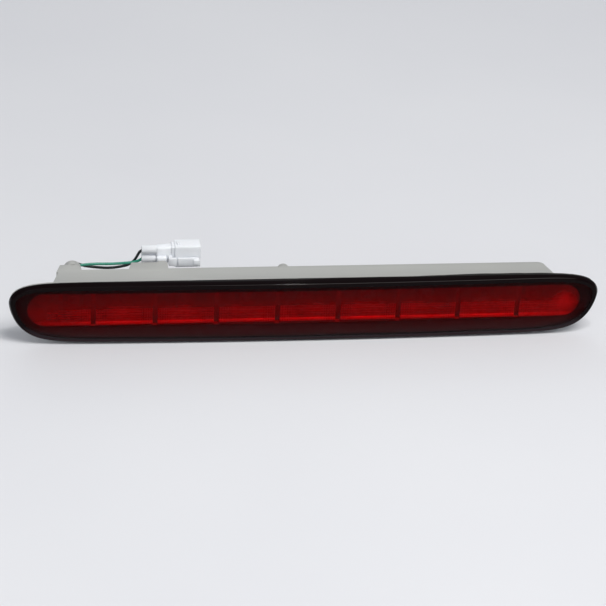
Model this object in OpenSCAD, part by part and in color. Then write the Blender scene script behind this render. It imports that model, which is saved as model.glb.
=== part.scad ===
// Centre high-mounted stop lamp: a long red lens on a shallow grey housing,
// with a short two-wire lead clipped to the housing's back.
// X runs along the lamp, -Y is the way the light shines, +Z is up.
// The origin is midway between the two mounting studs, on the housing's back face.

/* [Lens] */
// Length of the lens, tip to tip
lens_l = 400; // [390:1:410]
// Height of the lens above the level of its tips
lens_up = 14.6; // [14.6:0.1:16]
// Height of the lens below the level of its tips, at the middle
lens_down = 30.4; // [29:0.1:31]
// Thickness of the lens wall
lens_wall = 2.4; // [2:0.1:2.4]
// Height of the lens skirt at the middle, from its rim to its crease
skirt = 5.9; // [5.9:0.1:7]
// How far the crease falls back at the tips
sweep = 3.3; // [2:0.1:3.3]
// How far the face bulges in front of the crease
crown = 1.0; // [0.5:0.1:1.5]

/* [Light window] */
// Half of the window's length
window_half = 188; // [180:1:188]
// Half of the window's height
window_r = 12.1; // [11.5:0.1:12.2]
// Height of the window's centre line above the studs
window_z = 1.2; // [1:0.1:1.4]
// Distance from one cell to the next
cell_pitch = 41.26; // [41:0.02:41.5]

/* [Housing] */
// Depth of the housing behind its seat
body_depth = 24; // [24:0.5:28]
// Half of the body's length at the seat
body_half = 172.5; // [171:0.5:174]
// Height of the body's top above the studs
body_top = 16.5; // [16.5:0.1:17]
// Depth of the body's underside below the studs
body_under = 13.8; // [13.8:0.1:15]
// Thickness of the housing's walls
wall = 2.2; // [2:0.1:2.2]

/* [Fixings] */
// Distance between the two mounting studs
stud_spacing = 260; // [240:2:270]
// Radius of a mounting stud
stud_r = 2.5; // [2:0.5:3]
// Length of a stud behind the housing
stud_l = 16; // [12:1:20]
// Radius of the locating pin
pin_r = 4; // [3.8:0.05:4.2]

/* [Lead and connector] */
// Outer radius of each wire
wire_r = 0.95; // [0.8:0.05:0.95]
// Distance between the two wires in the connector
terminal_pitch = 6.5; // [6.5:0.1:7]
// Length of the latch lever
latch_l = 14; // [12:0.5:14]

/* [Hidden] */
$fn = 48;
eps = 0.5;                          // how far a cut runs past the face it opens

// Levels along Y, from the seat that meets the vehicle forwards and backwards
y_seat = -body_depth;
flange_t = 2.5;
bead_t = 0.6;
y_flange = y_seat - flange_t;       // front of the flange
y_rim = y_flange - bead_t;          // rim of the lens
gasket_t = 2;
pan_depth = 6;                      // depth of the shallow pan behind the whole window
pan_r = window_r + 0.7;             // half height of the pan, inside
pan_half = 191;                     // half length of the pan, inside

// Lens outline
tip_z = 6.4;                        // level of the tips above the studs
half_l = lens_l / 2;
steps = 14;                         // stations from each tip to the middle
edge = 1.2;                         // how far the crease lies inside the rim's outline
bottom_arch = 1.23;                 // rise of the underside towards the tips
bulge_reach = 18;                   // distance from the crease over which the face bulges

// Optics
optic_t = 2;
optic_r = window_r + 0.6;           // half height of the inner optic
y_optic = y_seat - 0.3;             // back of the inner optic
y_reflector = y_seat - 0.2;         // front of the reflector
reflector_r = window_r + 0.5;       // half height of the reflector
reflector_t = 0.8;                  // thickness of its shell round the window
y_pocket = -15.2;                   // front of the pocket floors
floor_t = 1.2;
pocket_floor_half = 7;              // half width of a pocket at its floor
last_cell = 4;                      // cells are numbered from -4 to 4
rib_t = 3.0;                        // width of a rib between two cells, at the front
end_led_x = 157;

// Circuit board
y_board = -12.2;                    // front of the board
board_t = 1.6;
board_half = 163;
board_h = 20;
board_z = 1.4;
led_size = 7.6;
led_h = 3;
screw_xs = [for (k = [-3.5, -1.5, 1.5, 3.5]) k * cell_pitch];
resistor_xs = [for (k = [-2.5, -0.5, 0.5, 2.5]) k * cell_pitch];

// Wire tower at the left end, with its round spout
tower_x = -156.7;
tower_y = 7.5;
spout_y = 13.4;
spout_r = 6;
spout_bore = 3.5;
spout_z = 10.7;
wire_gap = 2.8;                     // height between the two wires in the grommet
pad_x = -149.5;                     // where the wires meet the board
pad_black_z = 9;
pad_green_z = 4;

// Connector, lying along X behind the bracket shelf
con_y = 19.5;
con_z = 17.5;
tube_x = -109.5;                    // mouth of the wire tubes
mid_x = -99.5;                      // start of the middle body
head_x = -87;                       // start of the head
mouth_x = -69.5;                    // mouth of the head
tube_r = 3;
tube_bore = 2.1;
mid_y = 3.6;                        // half thickness of the middle body
mid_z = 6.3;                        // half height of the middle body
head_y = 5.75;
head_z = 7.75;
head_wall = 1.4;
crimp_x = -98;                      // where a wire ends in its terminal
crimp_r = 1.25;
blade = [24, 2.3, 0.64];
upper_z = con_z + terminal_pitch / 2;
lower_z = con_z - terminal_pitch / 2;
lock_x = -94.5;
lock_l = 3.2;
lock_h = 10.4;
lock_depth = 2.2;
latch_x = -84.5;                    // axis of the latch's flexing root
latch_y = 11.55;
latch_t = 1.5;
latch_z0 = 12.2;
latch_z1 = 18;
latch_gap = 0.15;                   // clearance round the latch's root

// Bracket shelf that carries the connector
shelf_x0 = -118;
shelf_x1 = -92.5;
shelf_y = 9.3;
shelf_t = 2.5;
tongue = [5.6, 5.6, 1.8];
tongue_x = -98.9;
tongue_z = 14;

// Locating pin
pin_x = -12.8;
pin_z = 8.25;
pin_l = 12.2;

// Vent
vent_x = 60;
vent_spout_r = 3;
vent_spout_l = 4;
vent_bore = 1.25;

// Route of each wire, from its pad on the board, through the grommet, to its terminal
black_z = spout_z + wire_gap / 2;
green_z = spout_z - wire_gap / 2;
black_route = [
    [pad_x, y_board + board_t, pad_black_z], [pad_x, -8.2, 9], [-151, -6, 9.2],
    [-154.5, -4.4, 9.9], [tower_x, -0.5, 11.2], [tower_x, 4, black_z], [tower_x, 9, black_z],
    [tower_x, 14.5, black_z], [-156.2, 17.5, 12], [-154, 19.6, 11.2], [-151, 20.6, 9.6],
    [-147, 21.3, 8], [-140.5, 21.7, 6.8], [-134, 21.7, 6.2], [-128, 21.7, 6.3],
    [-122.8, 21.7, 7.1], [-118, 21.7, 8.5], [-114.4, 21.6, 11.4], [-112.3, 21, 15.2],
    [-110.9, 20.2, 18.4], [-109.4, con_y, upper_z - 0.7], [-107.9, con_y, upper_z],
    [-106.5, con_y, upper_z], [crimp_x, con_y, upper_z]
];
green_route = [
    [pad_x, y_board + board_t, pad_green_z], [pad_x, -8.2, 4], [-151, -6, 4.6],
    [-154.5, -4.6, 6.4], [-156.5, -1.5, 8.3], [tower_x, 3, green_z], [tower_x, 9, green_z],
    [tower_x, 14.5, green_z], [-156.2, 16.2, 9.5], [-154, 17.3, 10], [-151, 17.8, 10.4],
    [-147, 18.3, 10.7], [-140.5, 19, 10.7], [-134, 19.2, 10.5], [-128, 19.2, 10.5],
    [-121, 19.2, 10.9], [-115, 19.2, 11.5], [-111.3, 19.4, 12.5],
    [-109.4, con_y, lower_z - 0.6], [-107.9, con_y, lower_z], [-106.5, con_y, lower_z],
    [crimp_x, con_y, lower_z]
];

// ---- Plain shapes -------------------------------------------------------

// Draws a flat shape in X and Z and gives it a thickness along Y
module along_y(y0, y1) translate([0, y1, 0]) rotate([90, 0, 0]) linear_extrude(y1 - y0) children();

// Draws a flat shape in Y and Z and gives it a length along X
module along_x(x0, x1) translate([x0, 0, 0]) rotate([90, 0, 90]) linear_extrude(x1 - x0) children();

// Draws a flat shape in X and Y and gives it a height along Z
module along_z(z0, z1) translate([0, 0, z0]) linear_extrude(z1 - z0) children();

module rod_y(x, z, y0, y1, r) translate([x, y1, z]) rotate([90, 0, 0]) cylinder(h = y1 - y0, r = r);

module rod_x(y, z, x0, x1, r) translate([x0, y, z]) rotate([0, 90, 0]) cylinder(h = x1 - x0, r = r);

module rod_z(x, y, z0, z1, r) translate([x, y, z0]) cylinder(h = z1 - z0, r = r);

module block(low, high) translate(low) cube(high - low);

// Flat bar with round ends, centred on the window's line
module stadium(half, r) translate([0, window_z]) {
    square([2 * (half - r), 2 * r], center = true);
    for (side = [-1, 1]) translate([side * (half - r), 0]) circle(r);
}

function arc(centre, r, from, to, n = 5) =
    [for (i = [0:n]) centre + r * [cos(from + (to - from) * i / n), sin(from + (to - from) * i / n)]];

// ---- Rings and skins ----------------------------------------------------

// A ring has 4 * steps points: left tip, along the top, right tip, back along the bottom.
// Stations crowd towards the tips, where the outline turns.
function station(j) = j <= steps ? pow(j / steps, 3) - 1 : 1 - pow(2 - j / steps, 3);

function on_top(j) = j <= 2 * steps;

function top_z(s, inset) = tip_z + (lens_up - inset) * sqrt(1 - pow(abs(s), 19.6));

function bottom_z(s, inset) =
    tip_z - (lens_down - inset) * pow(1 - pow(abs(s), 18.4), 1 / 1.5)
    + bottom_arch * s * s * (1 - pow(abs(s), 18.4));

// Outline of the lens, drawn in by inset, as points in X and Z
function outline(inset) = [for (j = [0:4 * steps - 1])
    let (s = station(on_top(j) ? j : 4 * steps - j))
    [(half_l - inset) * s, on_top(j) ? top_z(s, inset) : bottom_z(s, inset)]];

// Outline of the window, with the same number of points
function window_outline(half, r) = [for (j = [0:4 * steps - 1])
    let (x = half * station(on_top(j) ? j : 4 * steps - j), past = max(0, abs(x) - half + r))
    [x, window_z + (on_top(j) ? 1 : -1) * sqrt(max(0, r * r - past * past))]];

function crease_y(x) = y_rim - skirt + sweep * pow(x / half_l, 2);

function bulge(inset) = 1 - pow(1 - min(1, max(0, inset - edge) / bulge_reach), 2);

// Lifts an outline onto the lens face, or a stated depth behind it
function on_face(points, inset, behind = 0) =
    [for (p = points) [p.x, crease_y(p.x) - crown * bulge(inset) + behind, p.y]];

function at_level(points, y) = [for (p = points) [p.x, y, p.y]];

// Solid through a row of rings. With loop, the last ring meets the first; without it, each end
// is closed by rungs from its top half to its bottom half.
module skin(rings, loop = false) {
    n = len(rings[0]);
    m = len(rings);
    function at(i, j) = (i % m) * n + (j % n);
    function rungs(i) = [for (j = [0:n / 2 - 1])
        each [[at(i, j), at(i, j + 1), at(i, n - j - 1)],
              [at(i, j), at(i, n - j - 1), at(i, n - j)]]];
    function real(faces) = [for (f = faces) if (f[0] != f[1] && f[1] != f[2] && f[2] != f[0]) f];
    function turned(faces) = [for (f = faces) [f[2], f[1], f[0]]];
    walls = [for (i = [0:m - (loop ? 1 : 2)]) for (j = [0:n - 1])
        each [[at(i, j), at(i + 1, j), at(i + 1, j + 1)],
              [at(i, j), at(i + 1, j + 1), at(i, j + 1)]]];
    ends = loop ? [] : concat(real(rungs(0)), turned(real(rungs(m - 1))));
    polyhedron([for (r = rings) each r], concat(walls, ends));
}

// ---- Round cord along a route -------------------------------------------

function bend(a, b, c, d, t) =
    0.5 * (2 * b + (c - a) * t + (2 * a - 5 * b + 4 * c - d) * t * t + (3 * b - a - 3 * c + d) * t * t * t);

function smooth_route(p, n = 2) = let (last = len(p) - 1) concat(
    [for (i = [0:last - 1]) for (k = [0:n - 1])
        bend(p[max(i - 1, 0)], p[i], p[i + 1], p[min(i + 2, last)], k / n)],
    [p[last]]);

function unit(v) = v / norm(v);

module cord(route, r, sides = 8) {
    p = smooth_route(route);
    last = len(p) - 1;
    rings = [for (i = [0:last])
        let (t = unit(p[min(i + 1, last)] - p[max(i - 1, 0)]),
             u = unit(cross(t, [0, 0, 1])),
             v = cross(u, t))
        [for (k = [0:sides - 1]) p[i] + r * (cos(360 * k / sides) * u + sin(360 * k / sides) * v)]];
    skin(rings);
}

// ---- Housing ------------------------------------------------------------

// Plan of the body in X and Y: it narrows towards its rounded back corners
function body_plan(inset) =
    let (corner = 5, back = -inset, half_back = body_half - 0.22 * body_depth - inset)
    concat(
        [[-(body_half - inset), y_seat], [body_half - inset, y_seat]],
        arc([half_back - corner, back - corner], corner, 0, 90),
        arc([corner - half_back, back - corner], corner, 90, 180));

module housing() color("#b9b9b4") difference() {
    union() {
        along_y(y_flange, y_seat) polygon(outline(0.4));
        along_y(y_seat, y_seat + pan_depth) stadium(pan_half + 2, pan_r + 1.5);
        along_z(-body_under, body_top) polygon(body_plan(0));
        wire_tower();
        bracket_shelf();
        rod_y(pin_x, pin_z, -eps, pin_l, pin_r);
        rod_y(vent_x, 0, -eps, vent_spout_l, vent_spout_r);
    }
    difference() {
        union() {
            along_y(y_flange - eps, y_seat + pan_depth - 2) stadium(pan_half, pan_r);
            along_z(-body_under + wall, body_top - wall) polygon(body_plan(wall));
            block([-163, -4, 6.4], [-153.4, tower_y - wall, body_top - wall]);
        }
        for (x = screw_xs) rod_y(x, board_z, y_board + board_t, -wall + eps, 3);
        for (x = [-1, 1] * stud_spacing / 2) rod_y(x, 0, -8, -wall + eps, 6);
    }
    for (x = screw_xs) rod_y(x, board_z, y_board + board_t - eps, -3.2, 1.3);
    for (x = [-1, 1] * stud_spacing / 2) stud_at(x);
    rod_y(tower_x, spout_z, 0, spout_y + eps, spout_bore);
    rod_y(vent_x, 0, -wall - eps, vent_spout_l + eps, vent_bore);
}

// Raised end block with the round spout that the wires leave by
module wire_tower() {
    along_z(4.2, body_top) polygon([[-168, -3], [-165.2, tower_y], [-151.6, tower_y], [-150.6, -3]]);
    rod_y(tower_x, spout_z, tower_y - eps, spout_y, spout_r);
}

// Shelf level with the top, two gussets under it, and the tongue that the connector clips onto
module bracket_shelf() {
    along_z(body_top - shelf_t, body_top) polygon([
        [shelf_x0 - 1.5, -eps], [shelf_x0 + 1, shelf_y], [shelf_x1, shelf_y], [shelf_x1, -eps]]);
    for (x = [shelf_x0 + 2, shelf_x1 - 4]) along_x(x, x + 2) polygon([
        [-eps, body_top - shelf_t + eps], [shelf_y - 1, body_top - shelf_t + eps], [-eps, 2]]);
    block([tongue_x, shelf_y - eps, tongue_z], [tongue_x, shelf_y, tongue_z] + tongue);
}

// ---- Lens and optics ----------------------------------------------------

module outer_lens() color("#8c0a16") skin([
    on_face(outline(10), 10, lens_wall),
    on_face(outline(edge + lens_wall + 3), edge + lens_wall + 3, lens_wall),
    on_face(outline(edge + lens_wall), edge + lens_wall, lens_wall),
    at_level(outline(lens_wall), y_rim),
    at_level(outline(0), y_rim),
    on_face(outline(edge), edge),
    on_face(outline(5), 5),
    on_face(outline(10), 10)
]);

// Black frame behind the face, with the window in it
module lens_mask() color("#120a0b") {
    front = lens_wall + 0.1;
    back = front + 0.8;
    skin([
        on_face(outline(3.9), 3.9, front),
        on_face(window_outline(window_half, window_r), 7, front),
        on_face(window_outline(window_half, window_r), 7, back),
        on_face(outline(3.9), 3.9, back)
    ], loop = true);
}

module lens_sealant() color("#17130f") along_y(y_rim, y_flange) difference() {
    polygon(outline(0.1));
    polygon(outline(2.3));
}

module inner_optic() color("#d9d9dd") along_y(y_optic - optic_t, y_optic) stadium(190, optic_r);

// Plan of one pocket, or of the space behind a rib, in X and Y
module slot_plan(front0, front1, back0, back1, y0, y1) polygon([
    [front0, y0], [front1, y0], [back1, y1], [back0, y1]]);

// Right-hand end of the reflector in plan: shallow over the pan's ledge, then down to the board
function end_steps(y_floor, drawn_in = 0) = [
    [189.4 - drawn_in, y_reflector], [188.6 - drawn_in, y_reflector + 1.6 - 0.7 * drawn_in],
    [168.4 - drawn_in, y_reflector + 3.9 - 0.75 * drawn_in], [166.2 - 1.8 * drawn_in, y_floor]];

function mirrored(points) = [for (i = [len(points) - 1:-1:0]) [-points[i].x, points[i].y]];

module reflector() color("#c9cbd0") difference() {
    intersection() {
        along_y(y_reflector, y_pocket + floor_t) stadium(189.2, reflector_r);
        along_z(-20, 20) polygon(concat(
            end_steps(y_pocket + floor_t), mirrored(end_steps(y_pocket + floor_t))));
    }
    for (k = [-last_cell:last_cell]) pocket(k);
    for (k = [-last_cell:last_cell - 1]) rib_back(k);
    for (x = led_xs()) along_y(y_pocket - eps, y_pocket + floor_t + eps)
        translate([x, window_z]) square(led_size + 0.6, center = true);
}

// Places of the lights; the two at the ends sit a little nearer the middle than their cells
function led_xs() = [for (k = [-last_cell:last_cell])
    abs(k) == last_cell ? sign(k) * end_led_x : k * cell_pitch];

// Pocket for one light; the two end ones run out to the window's round ends
module pocket(k) {
    middle = abs(k) * cell_pitch;
    half = (cell_pitch - rib_t) / 2;
    floor_x = abs(led_xs()[k + last_cell]);
    side = abs(k) == last_cell ? end_steps(y_pocket, 1.2)
         : [[middle + half, y_reflector], [floor_x + pocket_floor_half, y_pocket]];
    intersection() {
        along_y(y_reflector, y_pocket) stadium(188.2, reflector_r - reflector_t);
        along_z(-20, 20) mirror([k < 0 ? 1 : 0, 0]) polygon(concat(
            [[middle - half, y_reflector]], side, [[floor_x - pocket_floor_half, y_pocket]]));
    }
}

// Hollow behind the rib between cell k and the next
module rib_back(k) {
    xs = led_xs();
    edge_x = (k + 0.5) * cell_pitch;
    back0 = xs[k + last_cell] + pocket_floor_half + floor_t;
    back1 = xs[k + last_cell + 1] - pocket_floor_half - floor_t;
    along_z(window_z - reflector_r + 1, window_z + reflector_r - 1) slot_plan(edge_x - 0.4, edge_x + 0.4, back0, back1,
        y_reflector + 1.4, y_pocket + floor_t + 0.001);
}

// ---- Circuit board and what is on it ------------------------------------

module circuit_board() color("#1f6b3a") difference() {
    block([-board_half, y_board, board_z - board_h / 2], [board_half, y_board + board_t, board_z + board_h / 2]);
    for (x = screw_xs) rod_y(x, board_z, y_board - eps, y_board + board_t + eps, 1.5);
}

module leds() color("#c8323c") for (x = led_xs()) {
    block([x - led_size / 2, y_board - led_h, window_z - led_size / 2],
          [x + led_size / 2, y_board, window_z + led_size / 2]);
    rod_y(x, window_z, y_board - led_h - 1, y_board - led_h, 2.75);
    intersection() {
        translate([x, y_board - led_h - 1, window_z]) sphere(2.75);
        rod_y(x, window_z, y_board - led_h - 5, y_board - led_h - 1, 3);
    }
}

// Part with a round body lying along Z and its two wire ends in the board
module axial(x, z, r, l) {
    y = y_board - r;
    rod_z(x, y, z - l / 2, z + l / 2, r);
    rod_z(x, y, z - l / 2 - 1.6, z + l / 2 + 1.6, 0.3);
    for (side = [-1, 1]) rod_y(x, z + side * (l / 2 + 1.6), y - 0.4, y_board, 0.4);
}

module resistors() color("#d8c39a") for (x = resistor_xs) axial(x, 1.5, 1.2, 6.4);

module polarity_diode() color("#26262a") axial(-136.5, 1.5, 1.35, 5.2);

module solder_joints() color("#b4b6ba") {
    back = y_board + board_t;
    for (x = led_xs()) for (side = [-1, 1]) rod_y(x + side * 2.5, window_z, back, back + 0.5, 1.1);
    for (z = [pad_black_z, pad_green_z]) difference() {
        rod_y(pad_x, z, back, back + 1.2, 1.8);
        rod_y(pad_x, z, back - eps, back + 1.2 + eps, wire_r + 0.05);
    }
}

module board_screws() color("#9a9da2") for (x = screw_xs) difference() {
    union() {
        rod_y(x, board_z, y_board - 1.6, y_board, 2.6);
        rod_y(x, board_z, y_board, -3.6, 1.25);
    }
    for (turn = [0, 90]) translate([x, y_board - 1.6, board_z]) rotate([0, turn, 0])
        cube([2.8, 1.6, 0.6], center = true);
}

// ---- Seals and fixings --------------------------------------------------

module panel_gasket() color("#2b2b2c") along_y(y_seat, y_seat + gasket_t) difference() {
    polygon(outline(1.6));
    stadium(pan_half + 2.4, pan_r + 1.9);
    translate([-body_half - 0.4, -body_under - 0.4])
        square([2 * body_half + 0.8, body_top + body_under + 0.8]);
}

// Stud with a thicker root and a collar, both moulded into the housing
module stud_at(x) {
    rod_y(x, 0, 0, stud_l, stud_r);
    rod_y(x, 0, -7, 0, stud_r + 0.6);
    rod_y(x, 0, -7, -4, 4.5);
}

module mounting_studs() color("#a9acae") for (x = [-1, 1] * stud_spacing / 2) stud_at(x);

module breather_cap() color("#1b1b1c") difference() {
    rod_y(vent_x, 0, 1, vent_spout_l + 2.2, 5);
    rod_y(vent_x, 0, 1 - eps, vent_spout_l, vent_spout_r);
}

module wire_grommet() color("#151516") difference() {
    union() {
        rod_y(tower_x, spout_z, 5, spout_y, spout_bore);
        rod_y(tower_x, spout_z, spout_y, spout_y + 1.5, 4.7);
    }
    for (z = [black_z, green_z]) rod_y(tower_x, z, 4, spout_y + 2, wire_r + 0.05);
}

module lead_black() color("#22282a") cord(black_route, wire_r);

module lead_green() color("#2f8f78") cord(green_route, wire_r);

// ---- Connector ----------------------------------------------------------

module connector_shell() color("#f1f3f4") difference() {
    union() {
        for (z = [lower_z, upper_z]) rod_x(con_y, z, tube_x, mid_x + eps, tube_r);
        block([mid_x, con_y - mid_y, con_z - mid_z], [head_x + eps, con_y + mid_y, con_z + mid_z]);
        block([head_x - 2.3, con_y - mid_y - 0.9, con_z - mid_z - 0.6],
              [head_x + eps, con_y + mid_y + 0.9, con_z + mid_z + 0.6]);
        block([head_x, con_y - head_y, con_z - head_z], [mouth_x, con_y + head_y, con_z + head_z]);
        block([head_x + 1.5, con_y - 2, con_z + head_z - eps], [head_x + 3.5, con_y + 2, con_z + head_z + 1]);
        clip_channel();
        latch_root();
    }
    for (z = [lower_z, upper_z]) {
        rod_x(con_y, z, tube_x - eps, -95, tube_bore);
        translate([crimp_x + blade.x / 2 + 1, con_y, z]) cube(blade, center = true);
    }
    block([head_x + 4, con_y - head_y + head_wall, con_z - head_z + head_wall],
          [mouth_x + eps, con_y + head_y - head_wall, con_z + head_z - head_wall]);
    block([lock_x - lock_l / 2 - 0.1, con_y + mid_y - lock_depth - 0.1, con_z - lock_h / 2 - 0.1],
          [lock_x + lock_l / 2 + 0.1, con_y + mid_y + eps, con_z + lock_h / 2 + 0.1]);
    block([-77, con_y - head_y - eps, 13.4], [-72.6, con_y - head_y + head_wall + eps, 16.8]);
}

// Box on the front of the middle body, with the slot that takes the housing's tongue
module clip_channel() difference() {
    block([mid_x + 0.2, 12.2, 12.4], [shelf_x1 - 0.3, con_y - mid_y + eps, 17.9]);
    block([tongue_x - 0.1, 12.2 - eps, tongue_z - 0.1],
          [tongue_x + tongue.x + 0.1, shelf_y + tongue.y + 0.1, tongue_z + tongue.z + 0.1]);
}

// Post that the latch lever springs from; its end is hollowed round the lever's root
module latch_root() difference() {
    block([-91.4, latch_y - latch_t / 2, latch_z0], [latch_x - 0.3, con_y - mid_y + eps, latch_z1]);
    rod_z(latch_x, latch_y, latch_z0 - eps, latch_z1 + eps, latch_t / 2 + latch_gap);
    block([latch_x - 0.9, latch_y + latch_t / 2 - eps, latch_z0 - eps],
          [latch_x + 1, latch_y + latch_t / 2 + 1.6, latch_z1 + eps]);
}

module connector_latch() color("#f4f5f6") {
    tip_x = latch_x + latch_l;
    rod_z(latch_x, latch_y, latch_z0, latch_z1, latch_t / 2);
    block([latch_x, latch_y - latch_t / 2, latch_z0], [tip_x, latch_y + latch_t / 2, latch_z1]);
    block([tip_x - 4, latch_y - latch_t / 2 - 1.2, latch_z0 + 1], [tip_x, latch_y, latch_z1 - 1]);
    along_z(14, 16.2) polygon([
        [-76.2, latch_y], [-73.4, latch_y], [-73.4, latch_y + latch_t / 2 + 1], [-76.2, latch_y + latch_t / 2]]);
}

module connector_pins() color("#c8b98a") for (z = [lower_z, upper_z]) {
    translate([crimp_x + blade.x / 2 + 1, con_y, z]) cube(blade, center = true);
    rod_x(con_y, z, crimp_x, -95, crimp_r);
}

// Ribbed silicone plug round each wire
module wire_seals() color("#2f6fae") for (z = [lower_z, upper_z])
    translate([tube_x + 3, con_y, z]) rotate([0, 90, 0]) rotate_extrude()
        polygon(concat(
            [[wire_r + 0.05, 0]],
            [for (i = [0:8]) [tube_bore - (i % 2 == 0 ? 0 : 0.4), i * 0.55]],
            [[wire_r + 0.05, 4.4]]));

module terminal_lock() color("#e9ecee") {
    block([lock_x - lock_l / 2, con_y + mid_y - lock_depth, con_z - lock_h / 2],
          [lock_x + lock_l / 2, con_y + mid_y + 0.5, con_z + lock_h / 2]);
}

housing();
outer_lens();
lens_mask();
lens_sealant();
inner_optic();
reflector();
circuit_board();
leds();
resistors();
polarity_diode();
solder_joints();
board_screws();
panel_gasket();
mounting_studs();
breather_cap();
wire_grommet();
lead_black();
lead_green();
connector_shell();
connector_pins();
wire_seals();
terminal_lock();
connector_latch();
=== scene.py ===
import math

import bmesh
import bpy
from mathutils import Matrix, Vector, noise


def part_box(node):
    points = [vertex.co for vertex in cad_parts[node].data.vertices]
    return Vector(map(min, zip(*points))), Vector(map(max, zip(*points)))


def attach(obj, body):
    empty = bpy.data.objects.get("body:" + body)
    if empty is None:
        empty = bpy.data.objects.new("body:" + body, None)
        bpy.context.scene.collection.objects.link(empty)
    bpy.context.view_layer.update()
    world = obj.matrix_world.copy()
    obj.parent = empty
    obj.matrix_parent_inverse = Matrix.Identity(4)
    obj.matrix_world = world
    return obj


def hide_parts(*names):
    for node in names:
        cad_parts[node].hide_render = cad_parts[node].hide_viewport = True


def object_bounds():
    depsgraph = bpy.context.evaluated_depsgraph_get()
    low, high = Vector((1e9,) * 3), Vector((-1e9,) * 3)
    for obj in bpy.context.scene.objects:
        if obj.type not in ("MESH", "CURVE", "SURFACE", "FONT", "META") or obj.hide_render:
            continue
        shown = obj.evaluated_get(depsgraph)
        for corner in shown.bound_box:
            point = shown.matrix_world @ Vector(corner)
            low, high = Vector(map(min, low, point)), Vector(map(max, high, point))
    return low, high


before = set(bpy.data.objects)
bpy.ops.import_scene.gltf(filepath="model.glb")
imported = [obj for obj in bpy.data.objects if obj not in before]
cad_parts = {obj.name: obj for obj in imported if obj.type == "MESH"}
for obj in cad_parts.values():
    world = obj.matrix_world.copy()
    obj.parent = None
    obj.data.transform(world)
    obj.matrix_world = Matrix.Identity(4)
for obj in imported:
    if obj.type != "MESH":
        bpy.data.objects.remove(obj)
cad_low, cad_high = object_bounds()
MM = 0.001

# ---- Camera ------------------------------------------------------------------------------
# A long lens that looks down on the lamp's front from a little to its left, slightly tilted.
# The lamp's length fills the picture from side to side.
yaw, rise, roll = (math.radians(angle) for angle in (9.085, 28.375, 3.217))
camera_distance = 1.5
aim = Vector((-2.0, -16.9, -3.2)) * MM
forward = Vector((math.sin(yaw) * math.cos(rise), math.cos(yaw) * math.cos(rise), -math.sin(rise)))
camera_turn = Matrix.Rotation(roll, 3, -forward) @ forward.to_track_quat("-Z", "Y").to_matrix()
camera_data = bpy.data.cameras.new("camera")
camera_data.lens = 131.3
camera_data.clip_end = 50
camera = bpy.data.objects.new("camera", camera_data)
camera.matrix_world = Matrix.Translation(aim - forward * camera_distance) @ camera_turn.to_4x4()
bpy.context.collection.objects.link(camera)
bpy.context.scene.camera = camera

# ---- Light -------------------------------------------------------------------------------
# Plain studio light: a soft box high on the right, which throws the shadow of the lens's black
# border onto the optic behind it, a small lamp that glints on the lens's crease, two large weak
# panels and a pale room all round.
bpy.context.scene.view_settings.view_transform = "Standard"


def area_light(name, place, target, size, power, colour=(1, 1, 1)):
    """Adds a square area light that faces a target."""
    data = bpy.data.lights.new(name, "AREA")
    data.size = size
    data.energy = power
    data.color = colour
    light = bpy.data.objects.new(name, data)
    place = Vector(place)
    light.matrix_world = (
        Matrix.Translation(place) @ (Vector(target) - place).to_track_quat("-Z", "Y").to_matrix().to_4x4()
    )
    bpy.context.collection.objects.link(light)


area_light("soft_box", (0.80, -1.25, 2.60), (0, 0, 0), 1.5, 55.0, (1.0, 0.99, 0.97))
area_light("small_lamp", (0.145, -0.45, 1.15), (0, 0, 0), 0.028, 1.9)
area_light("front_panel", (-0.5, -1.6, 0.9), (0, 0, 0), 0.9, 4.0, (0.96, 0.98, 1.0))
area_light("back_panel", (-0.3, 2.2, 1.2), (0, 0, 0), 1.3, 6.0, (0.94, 0.97, 1.0))
world = bpy.data.worlds.new("room")
world.use_nodes = True
world.node_tree.nodes["Background"].inputs["Color"].default_value = (0.90, 0.94, 1.0, 1)
world.node_tree.nodes["Background"].inputs["Strength"].default_value = 0.36
bpy.context.scene.world = world

# ---- Floor -------------------------------------------------------------------------------
# A sheet of plain matt paper that the lamp's lower edge rests on.
# Paper scatters light evenly and has no gloss, only a faint unevenness of tone.


def linear(code):
    """Turns an sRGB hex value into the linear colour that shaders take."""
    parts = (int(code[i:i + 2], 16) / 255 for i in (0, 2, 4))
    return (*(p / 12.92 if p <= 0.04045 else ((p + 0.055) / 1.055) ** 2.4 for p in parts), 1.0)


def add(material, kind, settings, links=None):
    """Adds a node to a material, sets its sockets or properties, and feeds the linked sockets."""
    tree = material.node_tree
    made = tree.nodes.new(kind)
    for key, value in settings.items():
        if isinstance(key, int) or key in made.inputs:
            made.inputs[key].default_value = value
        else:
            setattr(made, key, value)
    for key, source in (links or {}).items():
        tree.links.new(source.outputs[0] if hasattr(source, "outputs") else source, made.inputs[key])
    return made


def material_of(name, settings):
    """A new material with one Principled shader, whose constants are set on its own sockets."""
    material = bpy.data.materials.new(name)
    material.use_nodes = True
    shader = material.node_tree.nodes["Principled BSDF"]
    for key, value in settings.items():
        shader.inputs[key].default_value = value
    return material, shader


def feed(material, source, socket):
    """Links a node's first output to a socket."""
    material.node_tree.links.new(source.outputs[0], socket)


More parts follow.
